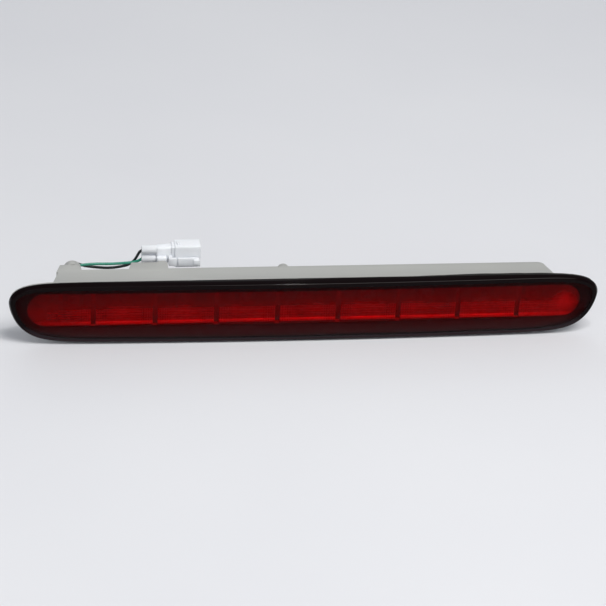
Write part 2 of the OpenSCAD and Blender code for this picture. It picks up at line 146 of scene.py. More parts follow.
def mottled(name, settings, scale, detail, tones, rough=None, bump=None):
    """A material whose tone wanders between two colours, and its roughness and height if asked."""
    material, shader = material_of(name, settings)
    coords = add(material, "ShaderNodeTexCoord", {})
    cloud = add(material, "ShaderNodeTexNoise", {"Scale": scale, "Detail": detail}, {
        "Vector": coords.outputs["Object"]})
    ramp = add(material, "ShaderNodeValToRGB", {}, {"Fac": cloud})
    for mark, tone in zip(ramp.color_ramp.elements, tones):
        mark.color = linear(tone)
    feed(material, ramp, shader.inputs["Base Color"])
    if rough:
        spread = add(material, "ShaderNodeMapRange", {"To Min": rough[0], "To Max": rough[1]}, {
            "Value": cloud})
        feed(material, spread, shader.inputs["Roughness"])
    if bump:
        height = add(material, "ShaderNodeBump", {"Strength": bump[0], "Distance": bump[1]}, {
            "Height": cloud})
        feed(material, height, shader.inputs["Normal"])
    return material


def piece_from(bm, name, material, sharp=35):
    """Makes an object of a bmesh, smooth except at edges sharper than an angle in degrees."""
    mesh = bpy.data.meshes.new(name)
    bm.to_mesh(mesh)
    bm.free()
    mesh.shade_smooth()
    mesh.set_sharp_from_angle(angle=math.radians(sharp))
    mesh.materials.append(material)
    piece = bpy.data.objects.new(name, mesh)
    bpy.context.collection.objects.link(piece)
    return piece


paper = mottled("matt_paper", {"Roughness": 0.95, "Specular IOR Level": 0.1}, 3.0, 4.0, ("dcdce0", "e6e6e8"))

floor_half = 6.0
bm = bmesh.new()
bmesh.ops.create_grid(bm, x_segments=1, y_segments=1, size=floor_half)
bmesh.ops.translate(bm, verts=bm.verts, vec=(0, 0, cad_low.z))
piece_from(bm, "floor", paper)

# ---- Outer lens --------------------------------------------------------------------------
# One shell of dyed red acrylic, injection moulded in a polished tool: a long slightly bulged
# face, a soft crease all round it, and a skirt that is glued to the housing by its rim.
lens_low, lens_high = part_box("outer_lens")
half_length = lens_high.x
tip_level = 6.4 * MM
rise_above = lens_high.z - tip_level
fall_below = tip_level - lens_low.z
rim_y = lens_high.y
skirt_depth = 5.9 * MM
skirt_sweep = 3.3 * MM
crease_level = rim_y - skirt_depth
crown = crease_level - lens_low.y
crease_inset = 1.2 * MM
bulge_reach = 18 * MM
lens_wall = 2.4 * MM
ring_points = 224
plateau = crease_inset + bulge_reach


def station(turn):
    """Share of the half length for a share of the way round; stations crowd towards the tips."""
    side = 4 * turn if turn <= 0.5 else 4 * (1 - turn)
    return side ** 3 - 1 if side <= 1 else 1 - (2 - side) ** 3


def outline(turn, inset):
    """Point on the lamp's outline, drawn in by inset. The first half turn runs along the top."""
    s = station(turn)
    if turn <= 0.5:
        z = tip_level + (rise_above - inset) * math.sqrt(max(0, 1 - abs(s) ** 19.6))
    else:
        arch = max(0, 1 - abs(s) ** 18.4)
        z = tip_level - (fall_below - inset) * arch ** (1 / 1.5) + 1.23 * MM * s * s * arch
    return (half_length - inset) * s, z


def crease_y(x):
    return rim_y - skirt_depth + skirt_sweep * (x / half_length) ** 2


def face_y(x, inset):
    share = min(1, max(0, inset - crease_inset) / bulge_reach)
    return crease_y(x) - crown * (1 - (1 - share) ** 2)


def start_ring(bm):
    """A ring of vertices, each of which keeps its share of the way round the lamp."""
    turn = bm.verts.layers.float.new("turn")
    verts = bmesh.ops.create_circle(bm, segments=ring_points, radius=1)["verts"]
    for vert in verts:
        angle = math.atan2(vert.co.y, -vert.co.x)
        vert[turn] = round((angle / math.tau) % 1 * ring_points) / ring_points
    return turn, verts, list(bm.edges)


def grow(bm, edges):
    """Extrudes a ring of edges in place and gives the new ring."""
    made = bmesh.ops.extrude_edge_only(bm, edges=edges)["geom"]
    verts = [part for part in made if isinstance(part, bmesh.types.BMVert)]
    fresh = set(verts)
    return verts, [
        part for part in made if isinstance(part, bmesh.types.BMEdge) and fresh.issuperset(part.verts)]


def place_ring(verts, turn, inset, behind=None):
    """Moves a ring onto the face, at a depth behind it, or onto the rim if no depth is given."""
    for vert in verts:
        x, z = outline(vert[turn], inset)
        vert.co = (x, rim_y if behind is None else face_y(x, inset) + behind, z)


def gather_ring(verts, turn, behind):
    """Moves a ring onto the middle line of the face, so that its two halves meet there."""
    for vert in verts:
        way = vert[turn]
        x, top = outline(min(way, 1 - way), plateau)
        bottom = outline(max(way, 1 - way), plateau)[1]
        vert.co = (x, face_y(x, plateau) + behind, (top + bottom) / 2)


acrylic, acrylic_shader = material_of("dyed_red_acrylic_polished", {
    "Roughness": 0.05, "IOR": 1.49})
# A polished face mirrors more the flatter it is looked at; the rest of the light goes through
# and comes out red. The faint waves are the sink marks of a long thin moulding. Where the face
# turns under, along its lower border, its tone turns paler: a painted reflection of the pale floor.
acrylic_coords = add(acrylic, "ShaderNodeTexCoord", {})
acrylic_stretch = add(acrylic, "ShaderNodeMapping", {"Scale": (0.25, 1, 1)}, {
    "Vector": acrylic_coords.outputs["Object"]})
acrylic_waves = add(acrylic, "ShaderNodeTexNoise", {"Scale": 55.0, "Detail": 2.0}, {
    "Vector": acrylic_stretch})
acrylic_bump = add(acrylic, "ShaderNodeBump", {"Strength": 0.06, "Distance": 0.0008}, {
    "Height": acrylic_waves})
feed(acrylic, acrylic_bump, acrylic_shader.inputs["Normal"])
acrylic_split = add(acrylic, "ShaderNodeSeparateXYZ", {}, {"Vector": acrylic_coords.outputs["Object"]})
# Paler towards the bottom edge: a painted reflection of the pale floor.
acrylic_painted_reflection_level = add(acrylic, "ShaderNodeMapRange", {"From Min": -0.0095, "From Max": -0.0165}, {
    "Value": acrylic_split.outputs["Z"]})
acrylic_tone_with_painted_reflection = add(acrylic, "ShaderNodeValToRGB", {}, {"Fac": acrylic_painted_reflection_level})
acrylic_tone_with_painted_reflection.color_ramp.elements[0].color = linear("120203")
acrylic_tone_with_painted_reflection.color_ramp.elements[1].color = linear("4e474a")
feed(acrylic, acrylic_tone_with_painted_reflection, acrylic_shader.inputs["Base Color"])
acrylic_facing = add(acrylic, "ShaderNodeLayerWeight", {"Blend": 0.5})
acrylic_rise = add(acrylic, "ShaderNodeMath", {"operation": "POWER", 1: 4.0}, {
    0: acrylic_facing.outputs["Facing"]})
acrylic_share = add(acrylic, "ShaderNodeMath", {"operation": "MULTIPLY_ADD", 1: 0.85, 2: 0.12}, {
    0: acrylic_rise})
acrylic_clear = add(acrylic, "ShaderNodeBsdfTransparent", {"Color": (0.93, 0.12, 0.15, 1)})
acrylic_mix = add(acrylic, "ShaderNodeMixShader", {}, {0: acrylic_share, 1: acrylic_clear, 2: acrylic_shader})
feed(acrylic, acrylic_mix, acrylic.node_tree.nodes["Material Output"].inputs["Surface"])

# Round the edge the black paint lies against the wall, so the acrylic shows as glossy black.
edge_acrylic, edge_shader = material_of("painted_acrylic_edge", {
    "Roughness": 0.07, "Specular IOR Level": 0.08})
edge_coords = add(edge_acrylic, "ShaderNodeTexCoord", {})
edge_split = add(edge_acrylic, "ShaderNodeSeparateXYZ", {}, {"Vector": edge_coords.outputs["Object"]})
# Paler towards the bottom edge: a painted reflection of the pale floor.
edge_painted_reflection_level = add(edge_acrylic, "ShaderNodeMapRange", {"From Min": -0.0095, "From Max": -0.0165}, {
    "Value": edge_split.outputs["Z"]})
edge_tone_with_painted_reflection = add(edge_acrylic, "ShaderNodeValToRGB", {}, {"Fac": edge_painted_reflection_level})
edge_tone_with_painted_reflection.color_ramp.elements[0].color = linear("0a0203")
edge_tone_with_painted_reflection.color_ramp.elements[1].color = linear("2b2124")
feed(edge_acrylic, edge_tone_with_painted_reflection, edge_shader.inputs["Base Color"])

# The inner wall adds the second half of the dye's depth and no gloss of its own.
acrylic_inner, inner_shader = material_of("dyed_red_acrylic_inner_wall", {"Base Color": linear("1c0204")})
inner_clear = add(acrylic_inner, "ShaderNodeBsdfTransparent", {"Color": (0.92, 0.14, 0.18, 1)})
inner_mix = add(acrylic_inner, "ShaderNodeMixShader", {"Fac": 0.03}, {1: inner_clear, 2: inner_shader})
feed(acrylic_inner, inner_mix, acrylic_inner.node_tree.nodes["Material Output"].inputs["Surface"])

bm = bmesh.new()
turn, verts, edges = start_ring(bm)
gather_ring(verts, turn, 0)
for inset in (plateau, 15 * MM, 11.5 * MM, 8.5 * MM, 6 * MM, 4 * MM, 2.6 * MM, crease_inset):
    verts, edges = grow(bm, edges)
    place_ring(verts, turn, inset, behind=0)
    if inset == 4 * MM:
        face_part = set(bm.faces)
crease_edges = edges
verts, edges = grow(bm, edges)
place_ring(verts, turn, 0)
rim_edges = edges
verts, edges = grow(bm, edges)
place_ring(verts, turn, lens_wall)
outer_faces = set(bm.faces)
edge_faces = outer_faces - face_part
for inset in (crease_inset + lens_wall, 6 * MM, 11 * MM, plateau):
    verts, edges = grow(bm, edges)
    place_ring(verts, turn, inset, behind=lens_wall)
verts, edges = grow(bm, edges)
gather_ring(verts, turn, lens_wall)
for face in bm.faces:
    face.material_index = 2 if face in edge_faces else 0 if face in outer_faces else 1
bmesh.ops.bevel(bm, geom=crease_edges, affect="EDGES", offset=0.9 * MM, segments=5, profile=0.5, material=-1)
bmesh.ops.bevel(bm, geom=[edge for edge in rim_edges if edge.is_valid], affect="EDGES", offset=0.35 * MM,
                segments=3, profile=0.5, material=-1)
bmesh.ops.remove_doubles(bm, verts=bm.verts, dist=0.002 * MM)
bmesh.ops.recalc_face_normals(bm, faces=bm.faces)
lens = piece_from(bm, "lens_shell", acrylic, sharp=50)
lens.data.materials.append(acrylic_inner)
lens.data.materials.append(edge_acrylic)
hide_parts("outer_lens")
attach(lens, "lamp")

# ---- Black border ------------------------------------------------------------------------
# A band of black paint on the lens's inside, round the light window and down the skirt.
# Sprayed paint, seen through the gloss of the lens and matt itself. Its tone is made a little
# paler towards the lower border: a painted reflection of the pale floor below.
window_z = 1.2 * MM
window_half = 188 * MM
window_r = 12.1 * MM
paint_t = 0.8 * MM
paint_front = lens_wall + 0.1 * MM
paint_face_inset = 7 * MM
paint_edge = 3.85 * MM

mask_paint, mask_shader = material_of("black_mask_paint", {"Roughness": 0.6, "Specular IOR Level": 0.15})
mask_coords = add(mask_paint, "ShaderNodeTexCoord", {})
mask_grain = add(mask_paint, "ShaderNodeTexNoise", {"Scale": 900.0, "Detail": 3.0}, {
    "Vector": mask_coords.outputs["Object"]})
mask_split = add(mask_paint, "ShaderNodeSeparateXYZ", {}, {"Vector": mask_coords.outputs["Object"]})
# Paler towards the bottom: a painted reflection of the pale floor.
mask_painted_reflection_level = add(mask_paint, "ShaderNodeMapRange", {"From Min": 0.006, "From Max": -0.016}, {
    "Value": mask_split.outputs["Z"]})
mask_grain_and_painted_reflection = add(mask_paint, "ShaderNodeMath", {"operation": "MULTIPLY_ADD", 1: 0.12}, {
    0: mask_grain, 2: mask_painted_reflection_level})
mask_ramp = add(mask_paint, "ShaderNodeValToRGB", {}, {"Fac": mask_grain_and_painted_reflection})
mask_ramp.color_ramp.elements[0].color = linear("080506")
mask_ramp.color_ramp.elements[1].color = linear("3a3032")
feed(mask_paint, mask_ramp, mask_shader.inputs["Base Color"])


def window_point(way, half, radius):
    """Point on a bar with round ends, for a share of the way round."""
    x = half * station(way)
    past = max(0, abs(x) - half + radius)
    return x, window_z + (1 if way <= 0.5 else -1) * math.sqrt(max(0, radius ** 2 - past ** 2))


def place_window(verts, turn, behind, grown=0.0):
    for vert in verts:
        x, z = window_point(vert[turn], window_half + grown, window_r + grown)
        vert.co = (x, face_y(x, paint_face_inset) + behind, z)


def place_border(verts, turn, share, behind):
    """Moves a ring to a share of the way from the window's edge out to the border's edge."""
    for vert in verts:
        inner = window_point(vert[turn], window_half, window_r)
        outer = outline(vert[turn], paint_edge)
        x, z = (a + (b - a) * share for a, b in zip(inner, outer))
        vert.co = (x, face_y(x, paint_face_inset + (paint_edge - paint_face_inset) * share) + behind, z)


bm = bmesh.new()
turn, verts, edges = start_ring(bm)
place_window(verts, turn, paint_front, grown=0.25 * MM)
for share in (0.33, 0.67, 1):
    verts, edges = grow(bm, edges)
    place_border(verts, turn, share, paint_front)
verts, edges = grow(bm, edges)
place_ring(verts, turn, 2.55 * MM)
verts, edges = grow(bm, edges)
place_ring(verts, turn, 3.3 * MM)
for share in (0.95, 0.5):
    verts, edges = grow(bm, edges)
    place_border(verts, turn, share, paint_front + paint_t)
verts, edges = grow(bm, edges)
place_window(verts, turn, paint_front + paint_t, grown=0.25 * MM)
verts, edges = grow(bm, edges)
place_window(verts, turn, paint_front + paint_t / 2)
verts, edges = grow(bm, edges)
place_window(verts, turn, paint_front, grown=0.25 * MM)
bmesh.ops.remove_doubles(bm, verts=bm.verts, dist=0.002 * MM)
bmesh.ops.recalc_face_normals(bm, faces=bm.faces)
mask = piece_from(bm, "black_border", mask_paint, sharp=40)
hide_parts("lens_mask")
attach(mask, "lamp")

# ---- Sealant bead ------------------------------------------------------------------------
# Black polyurethane, run round the housing's flange by a nozzle before the lens is pressed on.
# It is squeezed out a little all round and most along the top at the right, where it cured in lumps.
sealant_low, sealant_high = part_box("lens_sealant")
squeeze_from, squeeze_to = 66 * MM, 112 * MM

sealant = mottled("cured_sealant", {"Roughness": 0.5}, 420.0, 4.0, ("12100e", "2a2724"), bump=(0.4, 0.0004))


def squeezed(way):
    """How far the bead stands out of the joint, for a share of the way round."""
    x = outline(way, 0)[0]
    place = Vector((x * 90, way * 7, 0))
    lumps = 0.10 * noise.noise(place) + 0.06 * noise.noise(place * 3.1)
    on_top = max(0, math.sin(math.tau * way)) ** 0.5
    share = min(1, max(0, (x - squeeze_from) / (squeeze_to - squeeze_from)))
    share = share * share * (3 - 2 * share) * on_top * (1 - max(0, abs(x) / half_length - 0.8) * 4)
    return (on_top * (0.12 + max(-0.1, lumps)) + (1.05 + 2 * lumps) * max(0, share)) * MM


bm = bmesh.new()
turn, verts, edges = start_ring(bm)
bead = ((2.2, 0), (0.4, 0), (0, 0.25), (-1, 0.75), (-1, 1.25), (0, 1.75), (0.6, 2), (2.2, 2), (2.2, 0))
bead_step = (sealant_high.y - sealant_low.y) / 2
for step, (inset, level) in enumerate(bead):
    if step:
        verts, edges = grow(bm, edges)
    for vert in verts:
        way = vert[turn]
        out = squeezed(way) if inset == -1 else squeezed(way) * 0.6 if inset == 0 else -inset * MM
        x, z = outline(way, -out if abs(station(way)) < 0.97 else max(0, -out))
        vert.co = (x, sealant_low.y + bead_step * level, z)
bmesh.ops.remove_doubles(bm, verts=bm.verts, dist=0.002 * MM)
bmesh.ops.recalc_face_normals(bm, faces=bm.faces)
bead_piece = piece_from(bm, "sealant_bead", sealant, sharp=60)
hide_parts("lens_sealant")
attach(bead_piece, "lamp")

# ---- Inner optic -------------------------------------------------------------------------
# A clear acrylic plate behind the window. One pad to each light is moulded on its front, with
# flutes along it and, near the pad's ends, flutes across it, which spread the light sideways.
optic_low, optic_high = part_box("inner_optic")
optic_half = optic_high.x
optic_r = (optic_high.z - optic_low.z) / 2
cell_pitch = 41.26 * MM
last_cell = 4
gap_between = 3.0 * MM
flute_pitch = 1.9 * MM
flute_h = 0.85 * MM
cross_pitch = 1.65 * MM
cross_reach = 8.3 * MM
lip = 1.8 * MM
ledge_top, ledge_peak, ledge_h = -8.0 * MM, -10.4 * MM, 1.2 * MM
plate_front = optic_low.y + 0.9 * MM
pad_back = optic_low.y - 0.35 * MM

optic_acrylic, optic_shader = material_of("clear_fluted_acrylic", {
    "Base Color": linear("c8c4c4"), "IOR": 1.49, "Specular IOR Level": 1.0})
# Clear plastic whose flutes bend light every way: part of what is seen is the light they
# scatter, and part is the dim pockets behind. The scattered share falls towards the top, where
# the pockets show: a painted shadow of the black border's upper edge. It rises on the flutes'
# crests, a painted highlight along each flute, and most on the ledge at the bottom, a painted
# highlight. The left end is darkened, painted shade, and the glow near the right end, set by
# its distance from a point, is a painted glow.
optic_coords = add(optic_acrylic, "ShaderNodeTexCoord", {})
optic_marks = add(optic_acrylic, "ShaderNodeTexNoise", {"Scale": 300.0, "Detail": 3.0}, {
    "Vector": optic_coords.outputs["Object"]})
optic_rough = add(optic_acrylic, "ShaderNodeMapRange", {"To Min": 0.2, "To Max": 0.36}, {
    "Value": optic_marks})
feed(optic_acrylic, optic_rough, optic_shader.inputs["Roughness"])
optic_split = add(optic_acrylic, "ShaderNodeSeparateXYZ", {}, {"Vector": optic_coords.outputs["Object"]})
# Darker towards the top, a painted shadow of the black border's upper edge, and brightest on the ledge, a
# painted highlight.
optic_height_for_painted_light = add(optic_acrylic, "ShaderNodeMapRange", {"From Min": -0.013, "From Max": 0.007}, {
    "Value": optic_split.outputs["Z"]})
optic_painted_shadow_and_ledge_highlight = add(optic_acrylic, "ShaderNodeValToRGB", {}, {"Fac": optic_height_for_painted_light})
painted_shadow_and_highlight_stops = (
    (0.0, 0.3), (0.1, 0.35), (0.14, 0.95), (0.22, 0.85), (0.27, 0.5), (0.62, 0.5), (0.72, 0.3), (1.0, 0.1))
for stop, (place, level) in enumerate(painted_shadow_and_highlight_stops):
    if stop < 2:
        mark = optic_painted_shadow_and_ledge_highlight.color_ramp.elements[stop]
        mark.position = place
    else:
        mark = optic_painted_shadow_and_ledge_highlight.color_ramp.elements.new(place)
    mark.color = (level, level, level, 1)
optic_patch = add(optic_acrylic, "ShaderNodeTexNoise", {"Scale": 38.0, "Detail": 1.0}, {
    "Vector": optic_coords.outputs["Object"]})
optic_uneven = add(optic_acrylic, "ShaderNodeMapRange", {
    "From Min": 0.3, "From Max": 0.7, "To Min": 0.72, "To Max": 1.2}, {
    "Value": optic_patch})
# The left end is made dimmer: painted shade.
optic_painted_shade_left_end = add(optic_acrylic, "ShaderNodeMapRange", {
    "From Min": -0.170, "From Max": -0.140, "To Min": 0.6, "To Max": 1.0}, {
        "Value": optic_split.outputs["X"]})
optic_scatter = add(optic_acrylic, "ShaderNodeMath", {"operation": "MULTIPLY"}, {
    0: optic_painted_shadow_and_ledge_highlight, 1: optic_uneven})
optic_scatter_with_painted_shade = add(optic_acrylic, "ShaderNodeMath", {"operation": "MULTIPLY"}, {
    0: optic_scatter, 1: optic_painted_shade_left_end})
# The crests scatter more: a painted highlight along each flute.
optic_painted_crest_highlight = add(optic_acrylic, "ShaderNodeMapRange", {
    "From Min": pad_back, "From Max": pad_back - flute_h, "To Min": 0.5, "To Max": 1.3}, {
    "Value": optic_split.outputs["Y"]})
optic_scatter_with_painted_crests = add(optic_acrylic, "ShaderNodeMath", {"operation": "MULTIPLY"}, {
    0: optic_scatter_with_painted_shade, 1: optic_painted_crest_highlight})
# A painted glow near the right end, set by its distance from a point.
optic_flat = add(optic_acrylic, "ShaderNodeMapping", {"Scale": (1, 0, 1)}, {
    "Vector": optic_coords.outputs["Object"]})
optic_distance_to_painted_glow = add(optic_acrylic, "ShaderNodeVectorMath", {
    "operation": "DISTANCE", 1: (0.1775, 0, 0.002)}, {0: optic_flat})
optic_painted_glow = add(optic_acrylic, "ShaderNodeMapRange", {
    "From Min": 0.001, "From Max": 0.0105, "To Min": 0.5, "To Max": 0.0}, {
        "Value": optic_distance_to_painted_glow.outputs["Value"]})
optic_fac = add(optic_acrylic, "ShaderNodeMath", {"operation": "ADD", "use_clamp": True}, {
    0: optic_scatter_with_painted_crests, 1: optic_painted_glow})
optic_clear = add(optic_acrylic, "ShaderNodeBsdfTransparent", {"Color": (0.85, 0.85, 0.85, 1)})
optic_mix = add(optic_acrylic, "ShaderNodeMixShader", {}, {0: optic_fac, 1: optic_clear, 2: optic_shader})
feed(optic_acrylic, optic_mix, optic_acrylic.node_tree.nodes["Material Output"].inputs["Surface"])

# Between the pads the plate is flat and polished, so the dim reflector shows through it.
plate_acrylic, plate_shader = material_of("clear_flat_acrylic", {
    "Base Color": linear("e9e6e6"), "Roughness": 0.1, "IOR": 1.49})
plate_clear = add(plate_acrylic, "ShaderNodeBsdfTransparent", {"Color": (0.8, 0.8, 0.8, 1)})
plate_mix = add(plate_acrylic, "ShaderNodeMixShader", {"Fac": 0.16}, {1: plate_clear, 2: plate_shader})
feed(plate_acrylic, plate_mix, plate_acrylic.node_tree.nodes["Material Output"].inputs["Surface"])

bm = bmesh.new()
turn, verts, edges = start_ring(bm)
for step, (grown, level) in enumerate(((-20, 0), (0, 0), (0, 1), (-20, 1))):
    if step:
        verts, edges = grow(bm, edges)
    for vert in verts:
        x, z = window_point(vert[turn], optic_half, optic_r)
        if grown:
            z = window_z
        vert.co = (x, plate_front if level == 0 else optic_high.y, z)
bmesh.ops.remove_doubles(bm, verts=bm.verts, dist=0.002 * MM)
for cell in range(-last_cell, last_cell + 1):
    left = cell * cell_pitch - (cell_pitch - gap_between) / 2
    right = left + cell_pitch - gap_between
    if cell == -last_cell:
        left = -optic_half - lip
    if cell == last_cell:
        right = optic_half + lip
    columns, rows = 96, 100
    plain = set(bm.faces)
    grid = bmesh.ops.create_grid(bm, x_segments=columns, y_segments=rows, size=1)["verts"]
    for vert in grid:
        side = abs(vert.co.x)
        half = (right - left) / 2
        reach = half - cross_reach
        x = reach * side / 0.4 if side < 0.4 else reach + cross_reach * (side - 0.4) / 0.6
        x = left + half + math.copysign(x, vert.co.x)
        past = max(0, abs(x) - optic_half + optic_r)
        room = math.sqrt(max(0, (optic_r + lip) ** 2 - past ** 2))
        z = window_z + max(0.02 * MM, room) * vert.co.y
        flute = abs(math.sin(math.pi * (z - window_z) / flute_pitch))
        to_end = min(x - left, right - x)
        cross = abs(math.sin(math.pi * to_end / cross_pitch)) if to_end < cross_reach else 1
        if z > ledge_peak:
            ledge = max(0, (ledge_top - z) / (ledge_top - ledge_peak))
        else:
            ledge = max(0, 1 - (ledge_peak - z) / (1.2 * MM))
        most = pad_back - face_y(x, paint_face_inset) - paint_front - paint_t - 0.3 * MM
        at_edge = abs(vert.co.x) > 0.999 or abs(vert.co.y) > 0.999
        lift = 0 if at_edge else flute_h * (0.6 * flute + 0.4 * cross) + ledge_h * ledge
        vert.co = (x, pad_back - min(lift, most), z)
    for face in bm.faces:
        if face not in plain:
            face.material_index = 1
bmesh.ops.dissolve_degenerate(bm, dist=0.005 * MM, edges=bm.edges)
optic = piece_from(bm, "fluted_optic", plate_acrylic, sharp=60)
optic.data.materials.append(optic_acrylic)
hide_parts("inner_optic")
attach(optic, "lamp")

# ---- Reflector ---------------------------------------------------------------------------
# ABS moulding with nine pockets, metallised in a vacuum chamber: bright, with a soft haze.
metallised = mottled(
    "vacuum_metallised_abs", {"Metallic": 1.0}, 220.0, 3.0, ("77797e", "8d8f94"), (0.22, 0.4))


def paint(node, material):
    """Gives a carried-over part its finish."""
    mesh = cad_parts[node].data
    mesh.materials.clear()
    mesh.materials.append(material)


paint("reflector", metallised)

# ---- Housing -----------------------------------------------------------------------------
# One grey ABS moulding: tray, flange, wire tower with its spout, bracket shelf and locating pin.
# The tool was spark-eroded, which gives a satin skin, and every edge has a small radius.
abs_grey, abs_shader = material_of("satin_grey_abs", {"IOR": 1.53, "Specular IOR Level": 0.4})
abs_coords = add(abs_grey, "ShaderNodeTexCoord", {})
abs_cloud = add(abs_grey, "ShaderNodeTexNoise", {"Scale": 26.0, "Detail": 3.0}, {
    "Vector": abs_coords.outputs["Object"]})
abs_tone = add(abs_grey, "ShaderNodeValToRGB", {}, {"Fac": abs_cloud})
abs_tone.color_ramp.elements[0].color = linear("a7a7a4")
abs_tone.color_ramp.elements[1].color = linear("b1b1ac")
abs_spark = add(abs_grey, "ShaderNodeTexNoise", {"Scale": 1900.0, "Detail": 2.0}, {
    "Vector": abs_coords.outputs["Object"]})
abs_bump = add(abs_grey, "ShaderNodeBump", {"Strength": 0.25, "Distance": 0.00012}, {"Height": abs_spark})
abs_rough = add(abs_grey, "ShaderNodeMapRange", {"To Min": 0.42, "To Max": 0.58}, {"Value": abs_spark})
feed(abs_grey, abs_tone, abs_shader.inputs["Base Color"])
feed(abs_grey, abs_rough, abs_shader.inputs["Roughness"])
feed(abs_grey, abs_bump, abs_shader.inputs["Normal"])


def rounded_copy(node, name, material, radius, body="lamp", least_angle=40, segments=2):
    """A copy of a part's mesh with its doubles merged, its flats rejoined and its edges rounded."""
    bm = bmesh.new()
    bm.from_mesh(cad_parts[node].data)
    bmesh.ops.remove_doubles(bm, verts=bm.verts, dist=0.001 * MM)
    bmesh.ops.dissolve_limit(bm, angle_limit=math.radians(1), verts=bm.verts, edges=bm.edges)
    edges = [
        edge for edge in bm.edges
        if len(edge.link_faces) == 2 and edge.calc_face_angle() > math.radians(least_angle)]
    bmesh.ops.bevel(bm, geom=edges, affect="EDGES", offset=radius, segments=segments, profile=0.5,
                    material=-1, clamp_overlap=False)
    piece = piece_from(bm, name, material, sharp=30)
    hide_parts(node)
    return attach(piece, body)


rounded_copy("housing", "housing_moulding", abs_grey, 0.35 * MM)

# ---- Gasket ------------------------------------------------------------------------------
# Die-cut ring of black closed-cell foam, stuck to the flange's back.
foam, foam_shader = material_of("closed_cell_foam", {"Roughness": 0.9, "Specular IOR Level": 0.2})
foam_coords = add(foam, "ShaderNodeTexCoord", {})
foam_cells = add(foam, "ShaderNodeTexVoronoi", {"Scale": 1400.0}, {"Vector": foam_coords.outputs["Object"]})
foam_tone = add(foam, "ShaderNodeValToRGB", {}, {"Fac": foam_cells})
foam_tone.color_ramp.elements[0].color = linear("2c2c2e")
foam_tone.color_ramp.elements[1].color = linear("1b1b1c")
foam_bump = add(foam, "ShaderNodeBump", {"Strength": 0.6, "Distance": 0.0003}, {"Height": foam_cells})
feed(foam, foam_tone, foam_shader.inputs["Base Color"])
feed(foam, foam_bump, foam_shader.inputs["Normal"])
rounded_copy("panel_gasket", "foam_gasket", foam, 0.3 * MM)

# ---- Rubber parts ------------------------------------------------------------------------
# The wire grommet and the breather cap are compression moulded in black EPDM: matt, faintly dusty.
rubber = mottled("moulded_epdm", {"Specular IOR Level": 0.35}, 700.0, 4.0, ("141415", "2b2b2c"), (0.55, 0.8))
rounded_copy("wire_grommet", "grommet", rubber, 0.3 * MM)
rounded_copy("breather_cap", "breather", rubber, 0.6 * MM, segments=3)

# ---- Mounting studs ----------------------------------------------------------------------
# Two M5 steel studs with rolled threads, bright zinc plated. Each is moulded in by its collar.
stud_low, stud_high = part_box("mounting_studs")
collar_r = (stud_high.z - stud_low.z) / 2
stud_x = stud_high.x - collar_r
thread_r = 2.5 * MM
thread_root = 2.1 * MM
thread_pitch = 0.8 * MM
thread_start = 0.6 * MM
turns = 18

zinc = mottled("bright_zinc_plate", {"Metallic": 1.0}, 500.0, 5.0, ("b3b5b4", "d0d1cf"), (0.25, 0.45))

bm = bmesh.new()
for side in (-1, 1):
    axis_x = side * stud_x
    profile = ((0, stud_low.y), (collar_r, stud_low.y), (collar_r, stud_low.y + 3 * MM),
               (3.1 * MM, stud_low.y + 3 * MM), (3.1 * MM, 0), (thread_root, 0),
               (thread_root, stud_high.y - 0.7 * MM), (thread_root - 0.6 * MM, stud_high.y), (0, stud_high.y))
    chain = [bm.verts.new((axis_x + radius, y, 0)) for radius, y in profile]
    lines = [bm.edges.new(pair) for pair in zip(chain, chain[1:])]
    bmesh.ops.spin(bm, geom=chain + lines, cent=(axis_x, 0, 0), axis=(0, 1, 0), angle=math.tau, steps=32,
                   use_merge=True)
    sunk = thread_root - 0.05 * MM
    ridge = [bm.verts.new((axis_x + radius, thread_start + thread_pitch * y, 0))
             for radius, y in ((sunk, 0.02), (thread_r, 0.5), (sunk, 0.98))]
    start = bm.faces.new(ridge)
    bmesh.ops.spin(bm, geom=[start], cent=(axis_x, 0, 0), axis=(0, 1, 0), angle=math.tau * turns,
                   steps=20 * turns, dvec=(0, thread_pitch / 20, 0))
bmesh.ops.remove_doubles(bm, verts=bm.verts, dist=0.001 * MM)
bmesh.ops.recalc_face_normals(bm, faces=bm.faces)
studs = piece_from(bm, "threaded_studs", zinc, sharp=25)
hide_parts("mounting_studs")
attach(studs, "lamp")
paint("board_screws", zinc)

# ---- Two-wire lead -----------------------------------------------------------------------
# Thin-wall PVC wire, 1.9 mm across, from the board's pads through the grommet to the connector.
# Extruded PVC is smooth and softly glossy, with the faint bands that extrusion leaves.
wire_r = 0.95 * MM
black_z, green_z = 12.1, 9.3
upper_z, lower_z = 20.75, 14.25
black_route = [
    (-149.5, -10.6, 9), (-149.5, -8.2, 9), (-151, -6, 9.2), (-154.5, -4.4, 9.9), (-156.7, -0.5, 11.2),
    (-156.7, 4, black_z), (-156.7, 9, black_z), (-156.7, 14.5, black_z), (-156.2, 17.5, 12),
    (-154, 19.6, 11.2), (-151, 20.6, 9.6), (-147, 21.3, 8), (-140.5, 21.7, 6.8), (-134, 21.7, 6.2),
    (-128, 21.7, 6.3), (-122.8, 21.7, 7.1), (-118, 21.7, 8.5), (-114.4, 21.6, 11.4), (-112.3, 21, 15.2),
    (-110.9, 20.2, 18.4), (-109.4, 19.5, upper_z - 0.7), (-107.9, 19.5, upper_z), (-106.5, 19.5, upper_z),
    (-98, 19.5, upper_z)]
